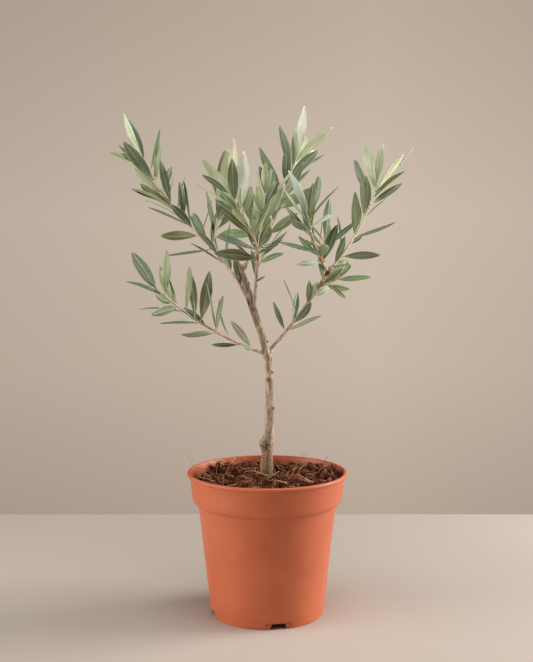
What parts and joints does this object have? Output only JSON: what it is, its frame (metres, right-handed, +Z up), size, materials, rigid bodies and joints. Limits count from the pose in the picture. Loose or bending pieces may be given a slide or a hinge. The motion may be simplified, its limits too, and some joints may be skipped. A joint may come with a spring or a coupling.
{
  "type": "potted olive tree",
  "caption": "Young olive tree with a slim bare trunk and an open crown of narrow grey-green leaves, standing in a round terracotta-coloured nursery pot.",
  "frame": {"origin": "centre of the pot's foot, on the surface that it stands on", "axes": "+Z up along the pot's axis, -Y towards the viewer, +X to the viewer's right"},
  "size_m": [0.2634, 0.1892, 0.4482],
  "materials": {
    "terracotta_plastic": "satin, thin moulded polypropylene",
    "compost": "rough, damp coir fibre",
    "trunk_bark": "matt, finely fissured grey bark",
    "bough_bark": "matt, smooth tan young bark",
    "foliage": "satin leaves, dark above and silver-green below"
  },
  "bodies": {
    "root": {"bough_back": "bough_bark", "bough_centre": "bough_bark", "bough_inner_right": "bough_bark", "bough_lower_left": "bough_bark", "bough_outer_right": "bough_bark", "bough_right": "bough_bark", "bough_upper_left": "bough_bark", "compost": "compost", "foliage_back_inner": "foliage", "foliage_back_middle": "foliage", "foliage_back_side": "foliage", "foliage_back_tip": "foliage", "foliage_centre_inner": "foliage", "foliage_centre_middle": "foliage", "foliage_centre_tip": "foliage", "foliage_inner_right_inner": "foliage", "foliage_inner_right_tip": "foliage", "foliage_low_right_tip": "foliage", "foliage_lower_left_inner": "foliage", "foliage_lower_left_middle": "foliage", "foliage_lower_left_tip": "foliage", "foliage_lower_left_under": "foliage", "foliage_outer_right_inner": "foliage", "foliage_outer_right_side": "foliage", "foliage_outer_right_tip": "foliage", "foliage_right_inner": "foliage", "foliage_right_outer": "foliage", "foliage_upper_left_inner": "foliage", "foliage_upper_left_middle": "foliage", "foliage_upper_left_outer": "foliage", "foliage_upper_left_side": "foliage", "foliage_upper_left_tip": "foliage", "foliage_upper_left_under": "foliage", "pot": "terracotta_plastic", "trunk": "trunk_bark", "twig_low_right": "bough_bark"}
  },
  "joints": []
}
